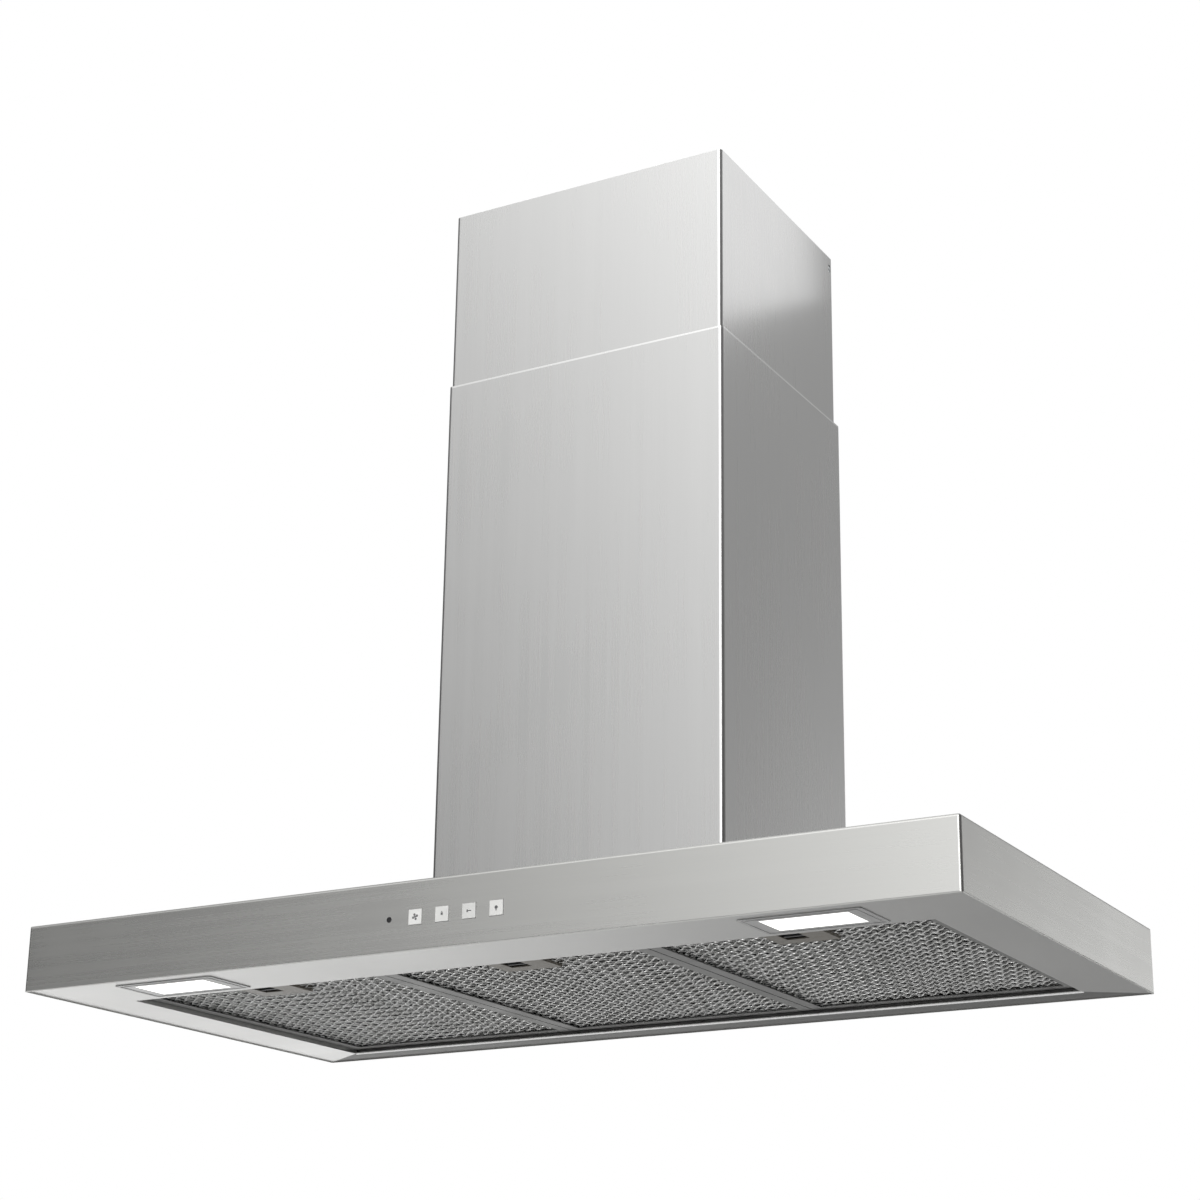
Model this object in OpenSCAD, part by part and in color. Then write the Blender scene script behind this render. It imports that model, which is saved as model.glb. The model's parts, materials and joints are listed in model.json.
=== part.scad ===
// Wall chimney range hood: box canopy, telescopic chimney, blower, lamps, controls and grease filters.
// The origin is the centre of the canopy's lower edge, +X is right, +Y is towards the wall, +Z is up.

/* [Canopy] */
// Width of the canopy
canopy_w = 900; // [760:10:1200]
// Depth of the canopy, fascia to wall
canopy_d = 470; // [450:5:620]
// Height of the fascia
canopy_h = 60; // [50:1:90]
// Sheet thickness of the canopy
sheet_t = 1.2; // [0.8:0.1:1.6]
// Outside radius of the canopy's vertical folds
fold_r = 2.5; // [2:0.5:6]
// Height of the underside panel above the canopy's lower edge
panel_z = 1; // [0:0.5:4]
// Shadow gap between the fascia and the underside panel
reveal = 2; // [0.5:0.5:5]

/* [Chimney] */
// Width of the lower chimney cover
chimney_w = 304; // [296:2:400]
// Depth of the lower chimney cover, front to wall
chimney_d = 268; // [262:2:340]
// Height of the lower cover's top edge above the canopy's lower edge
lower_top = 613; // [540:1:900]
// Height of the upper cover's top edge above the canopy's lower edge
upper_top = 801; // [760:1:1300]
// Length of the upper cover
upper_len = 540; // [420:5:560]
// Sheet thickness of both covers
chimney_t = 1; // [0.8:0.1:1.2]
// Outside radius of the covers' folds
cover_fold_r = 4; // [2:0.5:4]
// Gap between the upper cover and the lower cover
slide_gap = 0.6; // [0.4:0.1:1.5]
// Distance from the upper cover's back edge to the wall
upper_back_gap = 8; // [6:0.5:12]
// Width of the covers' rear flanges
rear_flange_w = 25; // [15:1:30]

/* [Filters] */
// Front margin of the underside panel, fascia to filter opening
front_margin = 85; // [76:1:120]
// Rear margin of the underside panel, filter opening to wall
rear_margin = 35; // [25:1:60]
// Side margin of the underside panel
side_margin = 56; // [40:1:90]
// Height of the filter frames
filter_h = 8.5; // [8:0.5:12]
// How far the filters sit above the underside panel's lower face
filter_recess = 4.2; // [3:0.1:6]
// Width of the filter frame's lip
lip_w = 11; // [8:0.5:16]
// Sheet thickness of the filter frame
frame_t = 1; // [0.6:0.1:1.2]
// Pitch of the filter mesh's pleats
pleat = 11.6; // [8:0.2:16]
// Travel of the filter latch
latch_travel = 6; // [3:0.5:7]

/* [Lamps] */
// Distance of each lamp from the middle
lamp_x = 308; // [200:1:330]
// Length of the lit lens
lens_w = 76; // [50:1:90]
// Depth of the lit lens
lens_d = 40; // [20:1:42]
// Width of the bezel round the lens
bezel_w = 15; // [12:0.5:16]
// Depth of the bezel in front of and behind the lens
bezel_d = 10; // [8:0.5:12]

/* [Controls] */
// Side of a square push button
button_s = 12.6; // [9:0.1:16]
// Distance between neighbouring controls
button_pitch = 26.2; // [20:0.2:32]
// Distance of the middle of the controls from the middle of the hood
control_shift = -4.6; // [-20:0.2:20]
// How far the controls sit below the middle of the fascia
control_drop = 2; // [0:0.5:4]
// Travel of a button
button_travel = 1.5; // [0.8:0.1:1.8]
// How far the buttons stand out of the fascia
button_proud = 0.8; // [0:0.1:2]
// Radius of the indicator light
indicator_r = 2.4; // [1.5:0.1:4]

/* [Blower] */
// Height of the blower box
box_h = 237; // [232:1:300]
// Outside radius of the duct collar
collar_r = 75; // [60:1:76]
// Height of the duct collar above the blower box
collar_h = 45; // [35:1:60]
// Radius of the fan wheel
wheel_r = 75; // [60:0.5:76]
// Length of each half of the fan wheel
wheel_half = 54; // [40:1:56]
// Blades in each half of the fan wheel
blades = 32; // [20:1:44]

/* [Hidden] */
$fn = 48;
eps = 0.01;
cut = 1;  // how far a cutting tool runs past the face it opens

front_y = -canopy_d / 2;
back_y = canopy_d / 2;
inner_w = canopy_w - 2 * sheet_t;
top_z = canopy_h - sheet_t;
hem_r = sheet_t - 0.1;  // rounding of the canopy's lower outer edges

// Filter opening and filters
open_front = front_y + front_margin;
open_back = back_y - rear_margin;
open_w = canopy_w - 2 * side_margin;
wall_h = 14;           // height of the opening's upturned walls
panel_front = front_y + sheet_t + reveal;
panel_back = back_y - sheet_t;
edge_inset = 10;       // the upturned edges stop this far from the corners
rail_rise = 2.4;       // how much higher the rear rail is at the filters than at the wall
rail_gap = 0.3;        // gap along the mitres between the rail and the panel
rod_r = 1.5;
rod_flat = 1.3;        // from the rod's axis to the rail it is fixed to
rod_y = open_back + 1.8;
filter_count = 3;
filter_side_gap = 1;
filter_mid_gap = 1.2;
filter_end_gap = 1.5;
filter_w = (open_w - 2 * filter_side_gap - (filter_count - 1) * filter_mid_gap) / filter_count;
filter_pitch = filter_w + filter_mid_gap;
filter_z = panel_z + filter_recess;
filter_front = open_front + filter_end_gap;
filter_back = open_back - filter_end_gap;
filter_len = filter_back - filter_front;
tab_w = 20;
tab_len = 6;
tab_x = 80;
tab_gap = 1;
tab_drop = 0.2;
tab_room = 5.4;

// Latch in each filter
cup_w = 54;
cup_wall = 4;
cup_roof = 1.9;
slider_w = 34;
slider_d = 21;
slider_gap = 0.4;
lip_from_front = 14;   // from the slider's front edge to its finger lip
lip_t = 3;
lip_gap = 0.6;
cup_floor = 1;
hole_w = 20;           // finger hole in the cup's floor
hole_x = -4;
spring_w = 10;
spring_wire = 0.8;
spring_turns = 5;
spring_end = 0.05;     // gap at each end of the spring
spring_spare = 3.5;    // room left behind the closed spring at full travel
spring_room = latch_travel + spring_turns * spring_wire + 2 * spring_end + spring_spare;
cup_d = 2 * cup_wall + slider_gap + slider_d + spring_room;
cup_z = filter_z + 0.3;
cup_h = filter_h - 0.6;
cup_front = filter_front + lip_w + 0.2;
pocket_front = cup_front + cup_wall;
pocket_back = cup_front + cup_d - cup_wall;
pocket_top = cup_z + cup_h - cup_roof;
tongue_w = 14;
tongue_t = 1.4;
tongue_z = pocket_top - 0.3 - tongue_t;
tongue_short = 0.4;    // gap between the tongue's tip and its keeper
slider_front = pocket_front + slider_gap;
lip_front = slider_front + lip_from_front;
hole_back = lip_front + lip_t + latch_travel + lip_gap;

// Lamps
lamp_y = front_y + 47;
lamp_cut = 1;
lamp_wall = 2;
lamp_body_w = lens_w + 14;
lamp_body_d = lens_d + 10;
lamp_body_h = 14;
bezel_z = 0.2;

// Controls
control_z = canopy_h / 2 - control_drop;
panel_y = front_y + sheet_t;   // inner face of the fascia
button_gap = 0.4;
button_flange = 1.7;
flange_gap = 0.2;
flange_t = 1.5;
stem_s = 5;
switch_s = 6;
switch_d = 2;
plunger_d = 0.9;
switch_gap = 0.2;      // left between the stem and the switch when a button is pressed
housing_wall = 2;
housing_w = 5 * button_pitch + 19;
housing_h = button_s + 2 * button_flange + 2 * housing_wall + 6;
partition_y = panel_y + flange_gap + flange_t + button_travel + 1.1;
partition_t = 1.5;
board_y = partition_y + partition_t + 6;
board_t = 1.6;
housing_d = board_y - panel_y;
plunger_y = board_y - switch_d - plunger_d;
stem_end = plunger_y - switch_gap - button_travel;

// Chimney covers
chimney_y = back_y - chimney_d / 2;
upper_w = chimney_w - 2 * (chimney_t + slide_gap);
upper_front = back_y - chimney_d + chimney_t + slide_gap;
upper_back = back_y - upper_back_gap;
upper_d = upper_back - upper_front;
upper_y = (upper_front + upper_back) / 2;
slot_from_back = 7.5;
slot_from_top = 13;
slot_w = 4;
slot_h = 9;
bracket_t = 2;
bracket_h = 24;
bracket_half = upper_w / 2 - chimney_t;
bracket_foot = 105;
bracket_hole_x = 60;

// Blower box
gasket_t = 3;
box_t = 1;
box_z = canopy_h + gasket_t;
box_top = box_z + box_h;
box_w = upper_w - 2 * chimney_t - 15;
box_back = upper_back - 3;
box_front = upper_front + 11.4;
box_d = box_back - box_front;
box_y = (box_front + box_back) / 2;
box_flange = 14;
intake_w = box_w - 2 * box_flange - 4;
intake_d = box_d - 2 * box_flange - 4;

// Scroll, wheel and motor, about an axis along X
scroll_t = 2;
scroll_half = 62;
scroll_r0 = wheel_r + 9;
scroll_r1 = wheel_r + 37;
scroll_from = 100;
scroll_y = box_y - 2;
scroll_z = box_z + 106;
inlet_r = wheel_r - 7;
outlet_u = 2;
outlet_v = box_top - box_t - scroll_z;
shaft_r = 4;
motor_r = 40;
motor_x0 = -100;
motor_x1 = -8;
shaft_x0 = motor_x0 + 24;   // the shaft's hidden end, inside the motor
shaft_x1 = 12;
shaft_end_gap = 4;
arm_r = inlet_r + 8;
grommet_t = 3;

// Terminal box on the blower box, its gland towards the wall
terminal_w = 40;
terminal_d = 104;
terminal_h = 32;
terminal_wall = 2;
terminal_x = -box_w / 2 + terminal_w / 2 + 4;
terminal_y = box_y - 20;
terminal_back = terminal_y + terminal_d / 2;
gland_z = box_top + terminal_h / 2;
gland_r = 7;
cord_hole_r = 4;
wire_hole_r = 6;

// Duct collar and damper flaps
collar_y = box_y + 38;
collar_t = 2;
collar_flange = 7;
flap_t = 1.2;
flap_x = 4;
flap_z = box_top + 19;
flap_edge = 2.5;
barrel_r = 2.4;
pin_r = 1.2;
pin_fit = 0.05;

// Hanging plate
plate_t = 2;
plate_half = 115;
plate_h = 70;
plate_z = box_top - 80;
wall_hole_x = 90;
wall_hole_r = 3.5;

function filter_x(i) = (i - 2) * filter_pitch;
function rail_under(y) = panel_z + rail_rise * (panel_back - y) / (panel_back - open_back);
function control_x(i) = control_shift + (i - 2) * button_pitch;  // 0 is the indicator, 1 to 4 are the buttons

// Flat rectangle with true round corners, centred
module round_rect(w, d, r) {
  square([w - 2 * r, d], center = true);
  square([w, d - 2 * r], center = true);
  for (sx = [-1, 1], sy = [-1, 1])
    translate([sx * (w / 2 - r), sy * (d / 2 - r)]) circle(r);
}

// Upright section with rounded upper corners and slightly rounded lower ones, standing on the X axis
module edge_section(w, h, r, low_r) {
  translate([-w / 2, low_r]) square([w, h - r - low_r]);
  translate([r - w / 2, 0]) square([w - 2 * r, h]);
  translate([low_r - w / 2, 0]) square([w - 2 * low_r, h - r]);
  for (sx = [-1, 1]) {
    translate([sx * (w / 2 - r), h - r]) circle(r);
    translate([sx * (w / 2 - low_r), low_r]) circle(low_r);
  }
}

// Box with every outer edge rounded: folds of radius r, lower edges of radius low_r
module folded_box(w, d, h, r, low_r) {
  intersection() {
    linear_extrude(h) round_rect(w, d, r);
    translate([-w / 2, 0, 0]) rotate([90, 0, 90]) linear_extrude(w) edge_section(d, h, r, low_r);
    translate([0, d / 2, 0]) rotate([90, 0, 0]) linear_extrude(d) edge_section(w, h, r, low_r);
  }
}

// Block centred in X and Y, standing on z
module block(w, d, h, x = 0, y = 0, z = 0) {
  translate([x - w / 2, y - d / 2, z]) cube([w, d, h]);
}

// Round bar along +X from x
module bar_x(r, len, x, y, z) {
  translate([x, y, z]) rotate([0, 90, 0]) cylinder(r = r, h = len);
}

// Round bar along +Y from y
module bar_y(r, len, x, y, z) {
  translate([x, y, z]) rotate([-90, 0, 0]) cylinder(r = r, h = len);
}

// Open-backed chimney cover: a folded U with rear flanges
module cover(w, d, y, z, h) {
  translate([0, y, z]) linear_extrude(h) difference() {
    round_rect(w, d, cover_fold_r);
    round_rect(w - 2 * chimney_t, d - 2 * chimney_t, cover_fold_r - chimney_t);
    translate([0, d / 2]) square([w - 2 * rear_flange_w, 4 * chimney_t], center = true);
  }
}

// ---- Canopy ----

module canopy_shell() {
  color([0.74, 0.74, 0.72]) difference() {
    folded_box(canopy_w, canopy_d, canopy_h, fold_r, hem_r);
    translate([0, 0, -cut]) linear_extrude(top_z + cut)
      round_rect(inner_w, canopy_d - 2 * sheet_t, fold_r - sheet_t);
    block(intake_w, intake_d, 2 * cut + sheet_t, 0, box_y, top_z - cut);
    for (i = [1:4])
      block(button_s + 2 * button_gap, 2 * cut + sheet_t, button_s + 2 * button_gap,
            control_x(i), front_y + sheet_t / 2, control_z - button_s / 2 - button_gap);
    bar_y(indicator_r + 0.1, sheet_t + 2 * cut, control_x(0), front_y - cut, control_z);
    blower_screw_places() cylinder(r = 2, h = 4 * cut + sheet_t, center = true);
    chimney_screw_places() cylinder(r = 1.75, h = 4 * cut + sheet_t, center = true);
  }
}

// Outline of the rear rail in plan, mitred into the panel's side margins, grown by g
module rail_outline(g) {
  half_back = inner_w / 2 - fold_r + sheet_t;
  half_front = open_w / 2 + sheet_t;
  offset_x = g * sqrt(2);
  polygon([[-half_back - offset_x, panel_back + cut], [half_back + offset_x, panel_back + cut],
           [half_back + offset_x, panel_back], [half_front + offset_x, open_back - g],
           [-half_front - offset_x, open_back - g], [-half_back - offset_x, panel_back]]);
}

module underside_panel() {
  color([0.66, 0.66, 0.65]) difference() {
    union() {
      translate([0, 0, panel_z]) linear_extrude(sheet_t) intersection() {
        round_rect(inner_w, 2 * panel_back, fold_r - sheet_t);
        translate([-inner_w / 2, panel_front]) square([inner_w, panel_back - panel_front]);
      }
      // front and side walls of the filter opening
      block(open_w + 2 * sheet_t, open_back - open_front + sheet_t, wall_h,
            0, (open_front + open_back - sheet_t) / 2, panel_z);
      // upturned edges that screw to the canopy's sides
      for (sx = [-1, 1])
        block(sheet_t, canopy_d - 2 * (sheet_t + edge_inset), wall_h,
              sx * (inner_w - sheet_t) / 2, 0, panel_z);
    }
    block(open_w, open_back - open_front + 2 * cut, wall_h + 2 * cut,
          0, (open_front + open_back) / 2 + cut, panel_z - cut);
    translate([0, 0, panel_z - cut]) linear_extrude(wall_h + 2 * cut) rail_outline(rail_gap);
    for (i = [1:filter_count])
      block(tongue_w + 2, sheet_t + 2 * cut, tongue_t + 1.2,
            filter_x(i), open_front - sheet_t / 2, tongue_z - 0.6);
    for (sx = [-1, 1])
      block(lamp_body_w + 2 * lamp_cut, lamp_body_d + 2 * lamp_cut, sheet_t + 2 * cut,
            sx * lamp_x, lamp_y, panel_z - cut);
    panel_screw_places() bar_x(1.75, 4 * cut, -2 * cut, 0, 0);
  }
}

// Folded rail along the wall that closes the filter opening, with windows for the filters' tabs
module rear_rail() {
  rail_top = panel_z + wall_h;
  rail_low = rail_under(panel_back);
  rail_high = rail_under(open_back);
  color([0.45, 0.45, 0.46]) difference() {
    intersection() {
      translate([-inner_w / 2, 0, 0]) rotate([90, 0, 90]) linear_extrude(inner_w)
        polygon([[panel_back, rail_low], [panel_back, rail_top], [panel_back - sheet_t, rail_top],
                 [panel_back - sheet_t, rail_low + sheet_t], [open_back + sheet_t, rail_high + sheet_t],
                 [open_back + sheet_t, rail_top], [open_back, rail_top], [open_back, rail_high]]);
      linear_extrude(rail_top + cut) rail_outline(0);
    }
    for (i = [1:filter_count], sx = [-1, 1])
      block(tab_w + 2 * tab_gap, sheet_t + 2 * cut, tab_drop + tab_room,
            filter_x(i) + sx * tab_x, open_back + sheet_t / 2, filter_z - tab_drop);
  }
}

// Polished rod along the rail's front edge, flat where it meets the rail
module rail_rod() {
  half = open_w / 2 + sheet_t;
  color([0.86, 0.86, 0.86]) translate([-half, 0, 0]) rotate([90, 0, 90]) linear_extrude(2 * half)
    difference() {
      translate([rod_y, rail_under(rod_y) - rod_flat]) circle(rod_r);
      polygon([[open_back, rail_under(open_back)], [panel_back, rail_under(panel_back)],
               [panel_back, panel_z + wall_h], [open_back, panel_z + wall_h]]);
    }
}

// ---- Lamps ----

module lamp_bezel(sx) {
  bz_w = lens_w + 2 * bezel_w;
  bz_d = lens_d + 2 * bezel_d;
  plate_h = panel_z - bezel_z;
  color([0.55, 0.56, 0.57]) translate([sx * lamp_x, lamp_y, 0]) difference() {
    union() {
      translate([0, 0, bezel_z]) linear_extrude(plate_h) round_rect(bz_w, bz_d, 3);
      block(lamp_body_w, lamp_body_d, lamp_body_h, 0, 0, panel_z);
    }
    // groove between the outer and the inner rim
    translate([0, 0, bezel_z - cut]) linear_extrude(cut + plate_h / 2) difference() {
      round_rect(bz_w - 6, bz_d - 6, 2);
      round_rect(bz_w - 11, bz_d - 11, 1.5);
    }
    block(lens_w + 0.4, lens_d + 0.4, 4 * cut, 0, 0, bezel_z - cut);
    block(lamp_body_w - 2 * lamp_wall, lamp_body_d - 2 * lamp_wall, lamp_body_h + cut, 0, 0, panel_z);
  }
}

module lamp_lens(sx) {
  color([0.97, 0.97, 0.95, 0.8]) translate([sx * lamp_x, lamp_y, 0]) {
    block(lens_w, lens_d, panel_z - 0.4 + eps, 0, 0, 0.4);
    block(lamp_body_w - 2 * lamp_wall - 1, lamp_body_d - 2 * lamp_wall - 1, 2, 0, 0, panel_z);
  }
}

module lamp_boards() {
  color("darkgreen") for (sx = [-1, 1]) translate([sx * lamp_x, lamp_y, 0]) {
    block(lamp_body_w - 2 * lamp_wall, lamp_body_d - 2 * lamp_wall, 1.6, 0, 0, panel_z + 10);
    for (ix = [-2:2], iy = [-1, 1]) block(5, 5, 1.2, ix * 14, iy * 9, panel_z + 9);
  }
}

module lamp_clips() {
  foot = panel_z + lamp_body_h;
  color("silver") for (sx = [-1, 1], cx = [-1, 1]) translate([sx * lamp_x + cx * lamp_body_w / 2, lamp_y, 0])
    scale([cx, 1, 1]) translate([0, 6, 0]) rotate([90, 0, 0]) linear_extrude(12)
      polygon([[0, foot], [0.6, foot], [6.5, panel_z + sheet_t + 4], [2, panel_z + sheet_t],
               [1.4, panel_z + sheet_t], [5.6, panel_z + sheet_t + 4.2], [0, foot - 1.4]]);
}

module led_driver() {
  color("white") difference() {
    block(110, 34, 22, 200, front_y + 50, top_z - 22);
    for (sx = [-1, 1]) translate([200 + sx * 50, front_y + 50, top_z - 23]) cylinder(r = 1.8, h = 24);
  }
}

// ---- Controls ----

module control_housing() {
  color([0.15, 0.15, 0.16]) difference() {
    block(housing_w, housing_d, housing_h,
          control_shift, panel_y + housing_d / 2, control_z - housing_h / 2);
    room_w = housing_w - 2 * housing_wall;
    room_h = housing_h - 2 * housing_wall;
    hole = stem_s + 1.2;
    block(room_w, partition_y - panel_y + cut, room_h,
          control_shift, (partition_y + panel_y - cut) / 2, control_z - room_h / 2);
    block(room_w, housing_d, room_h,
          control_shift, partition_y + partition_t + housing_d / 2, control_z - room_h / 2);
    for (i = [1:4])
      block(hole, 4 * cut, hole, control_x(i), partition_y + partition_t / 2, control_z - hole / 2);
  }
}

module control_board() {
  h = housing_h - 2 * housing_wall;
  color("darkgreen")
    block(housing_w, board_t, h, control_shift, board_y + board_t / 2, control_z - h / 2);
}

module tact_switches() {
  color([0.2, 0.2, 0.2]) for (i = [1:4]) {
    block(switch_s, switch_d, switch_s, control_x(i), board_y - switch_d / 2, control_z - switch_s / 2);
    bar_y(1.5, plunger_d, control_x(i), plunger_y, control_z);
  }
}

module indicator_lens() {
  proud = 0.2;
  color([0.2, 0.2, 0.22])
    bar_y(indicator_r, partition_y - front_y + proud, control_x(0), front_y - proud, control_z);
}

module button(i) {
  cap_front = front_y - button_proud;
  flange_y = panel_y + flange_gap;
  flange_s = button_s + 2 * button_flange;
  stem_y = flange_y + flange_t - eps;
  color([0.85, 0.85, 0.85]) {
    block(button_s, flange_y + eps - cap_front, button_s,
          control_x(i), (cap_front + flange_y + eps) / 2, control_z - button_s / 2);
    block(flange_s, flange_t, flange_s, control_x(i), flange_y + flange_t / 2, control_z - flange_s / 2);
    block(stem_s, stem_end - stem_y, stem_s, control_x(i), (stem_end + stem_y) / 2, control_z - stem_s / 2);
  }
}

// ---- Blower ----

module blower_screw_places() {
  for (sx = [-1, 1], sy = [-1, 0, 1])
    translate([sx * (box_w / 2 - 7), box_y + sy * (box_d / 2 - 20), canopy_h]) children();
}

module blower_box() {
  color([0.72, 0.74, 0.76]) difference() {
    block(box_w, box_d, box_h, 0, box_y, box_z);
    block(box_w - 2 * box_t, box_d - 2 * box_t, box_h - 2 * box_t, 0, box_y, box_z + box_t);
    block(box_w - 2 * box_flange, box_d - 2 * box_flange, 4 * cut, 0, box_y, box_z - cut);
    translate([0, collar_y, box_top - 2 * cut]) cylinder(r = collar_r - collar_t, h = 4 * cut);
    for (sx = [-1, 1]) bar_y(8, 6 * cut, sx * wall_hole_x, box_back - 3 * cut, plate_z + plate_h / 2);
    translate([terminal_x, terminal_y, box_top - 2 * cut]) cylinder(r = wire_hole_r, h = 4 * cut);
    blower_screw_places() cylinder(r = 2, h = 6 * gasket_t, center = true);
  }
}

module blower_gasket() {
  color([0.12, 0.12, 0.12]) difference() {
    block(box_w, box_d, gasket_t, 0, box_y, canopy_h);
    block(box_w - 2 * box_flange, box_d - 2 * box_flange, 6 * cut, 0, box_y, canopy_h - cut);
    blower_screw_places() cylinder(r = 2, h = 6 * gasket_t, center = true);
  }
}

module blower_screws() {
  color("silver") blower_screw_places() {
    translate([0, 0, -sheet_t - 2.4]) cylinder(r = 4, h = 2.4);
    translate([0, 0, -sheet_t - eps]) cylinder(r = 1.9, h = sheet_t + gasket_t + box_t + 3);
  }
}

function scroll_radius(a) = scroll_r0 + (scroll_r1 - scroll_r0) * (a - scroll_from) / (360 - scroll_from);

// Outline of the scroll, inset by t, with its outlet upwards
module scroll_outline(t) {
  over = t > 0 ? cut : 0;
  polygon(concat(
    [[outlet_u + t, outlet_v + over], [outlet_u + t, scroll_r0 - t]],
    [for (a = [scroll_from:10:360]) (scroll_radius(a) - t) * [cos(a), sin(a)]],
    [[scroll_r1 - t, outlet_v + over]]
  ));
}

module volute_half(guard) {
  difference() {
    rotate([90, 0, 90]) linear_extrude(scroll_half) scroll_outline(0);
    rotate([90, 0, 90]) translate([0, 0, -cut]) linear_extrude(scroll_half - scroll_t + cut)
      scroll_outline(scroll_t);
    bar_x(inlet_r, 6 * cut, scroll_half - 4 * cut, 0, 0);
  }
  if (guard) {
    for (r = [inlet_r - 1, 0.62 * inlet_r, 0.28 * inlet_r])
      difference() {
        bar_x(r + 2.5, 2, scroll_half, 0, 0);
        bar_x(r - 1, 4, scroll_half - 1, 0, 0);
      }
    for (a = [0:60:300]) rotate([a, 0, 0])
      translate([scroll_half, 0.28 * inlet_r, -1.5]) cube([2, 0.72 * inlet_r + 1, 3]);
  }
}

module volute_left() {
  color([0.25, 0.25, 0.27]) translate([0, scroll_y, scroll_z]) mirror([1, 0, 0]) volute_half(false);
}

module volute_right() {
  color([0.25, 0.25, 0.27]) translate([0, scroll_y, scroll_z]) volute_half(true);
}

module motor_can() {
  color([0.6, 0.6, 0.62]) translate([0, scroll_y, scroll_z]) difference() {
    union() {
      bar_x(motor_r, motor_x1 - motor_x0 - 12, motor_x0 + 6, 0, 0);
      bar_x(motor_r - 6, motor_x1 - motor_x0, motor_x0, 0, 0);
      bar_x(10, 4, motor_x1, 0, 0);
    }
    bar_x(shaft_r + pin_fit, shaft_x1 - shaft_x0, shaft_x0 - shaft_end_gap, 0, 0);
  }
}

module bracket_arm_places() {
  for (a = [90, 210, 330]) rotate([a, 0, 0]) translate([-scroll_half, arm_r, 0]) children();
}

module motor_bracket() {
  x0 = -scroll_half - grommet_t - 2;
  color("silver") translate([0, scroll_y, scroll_z]) difference() {
    union() {
      bar_x(motor_r + 6, 2, x0, 0, 0);
      for (a = [90, 210, 330]) rotate([a, 0, 0]) {
        translate([x0, motor_r + 2, -7]) cube([2, arm_r - motor_r - 2, 14]);
        bar_x(7, 2, x0, arm_r, 0);
      }
    }
    bar_x(motor_r, 6, x0 - 2, 0, 0);
    bracket_arm_places() bar_x(2, 8, -8, 0, 0);
  }
}

module motor_grommets() {
  color([0.1, 0.1, 0.1]) translate([0, scroll_y, scroll_z]) bracket_arm_places() difference() {
    bar_x(6, grommet_t, -grommet_t, 0, 0);
    bar_x(2, grommet_t + 2, -grommet_t - 1, 0, 0);
  }
}

module motor_shaft() {
  color("silver") translate([0, scroll_y, scroll_z]) bar_x(shaft_r, shaft_x1 - shaft_x0, shaft_x0, 0, 0);
}

module impeller() {
  blade_in = wheel_r - 13;
  color([0.3, 0.32, 0.35]) translate([0, scroll_y, scroll_z]) difference() {
    union() {
      bar_x(wheel_r, 2, -1, 0, 0);
      bar_x(12, 9, 0, 0, 0);
      for (x = [-wheel_half, wheel_half - 2]) difference() {
        bar_x(wheel_r, 2, x, 0, 0);
        bar_x(blade_in, 4, x - 1, 0, 0);
      }
      for (k = [1:blades]) rotate([360 * k / blades, 0, 0])
        translate([-wheel_half + 1, wheel_r - 11, 0]) rotate([35, 0, 0])
          translate([0, 0, -0.6]) cube([2 * wheel_half - 2, 10, 1.2]);
    }
    bar_x(shaft_r, 20, -10, 0, 0);
    for (a = [0:60:300]) rotate([a, 0, 0]) bar_x(10, 6, -3, 34, 0);
  }
}

module run_capacitor() {
  color("white") translate([box_w / 2 - 26, box_front + 24, box_z + 30]) {
    cylinder(r = 17, h = 60);
    translate([0, 0, 60 - eps]) cylinder(r = 9, h = 5);
    for (x = [-4, 4]) block(1, 4, 8, x, 0, 64);
  }
}

// ---- Mains connection ----

module terminal_box() {
  color([0.2, 0.2, 0.21]) difference() {
    block(terminal_w, terminal_d, terminal_h, terminal_x, terminal_y, box_top);
    block(terminal_w - 2 * terminal_wall, terminal_d - 2 * terminal_wall, terminal_h,
          terminal_x, terminal_y, box_top + terminal_wall);
    bar_y(gland_r, 8, terminal_x, terminal_back - 4, gland_z);
    translate([terminal_x, terminal_y, box_top - cut]) cylinder(r = wire_hole_r, h = 4 * cut);
  }
}

module terminal_lid() {
  color([0.2, 0.2, 0.21]) {
    block(terminal_w + 2, terminal_d + 2, 2, terminal_x, terminal_y, box_top + terminal_h);
    block(terminal_w - 2 * terminal_wall - 0.4, terminal_d - 2 * terminal_wall - 0.4, 3,
          terminal_x, terminal_y, box_top + terminal_h - 3 + eps);
  }
}

module cable_gland() {
  color([0.08, 0.08, 0.08]) difference() {
    union() {
      bar_y(gland_r, 5, terminal_x, terminal_back - 4, gland_z);
      bar_y(gland_r + 3, 5, terminal_x, terminal_back, gland_z);
      bar_y(gland_r + 0.5, 8, terminal_x, terminal_back + 4, gland_z);
    }
    bar_y(cord_hole_r, 30, terminal_x, terminal_back - 10, gland_z);
  }
}

// ---- Duct collar ----

module outlet_collar() {
  color([0.2, 0.2, 0.21]) translate([0, collar_y, box_top]) difference() {
    union() {
      difference() {
        union() {
          cylinder(r = collar_r, h = collar_h);
          cylinder(r = collar_r + collar_flange, h = 2);
        }
        translate([0, 0, -cut]) cylinder(r = collar_r - collar_t, h = collar_h + 2 * cut);
      }
      // ledge and middle bar that the closed flaps rest on
      difference() {
        translate([0, 0, 13]) cylinder(r = collar_r - collar_t + eps, h = 3);
        translate([0, 0, 12]) cylinder(r = collar_r - collar_t - 4, h = 5);
      }
      block(6, 2 * (collar_r - collar_t), 3, 0, 0, 13);
    }
    for (sx = [-1, 1])
      bar_y(pin_r, 2 * collar_r + 4, sx * flap_x, -collar_r - 2, flap_z - box_top);
  }
}

module flap_pins() {
  len = 2 * (collar_r - 0.3);
  color("silver") for (sx = [-1, 1]) bar_y(pin_r, len, sx * flap_x, collar_y - len / 2, flap_z);
}

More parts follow.
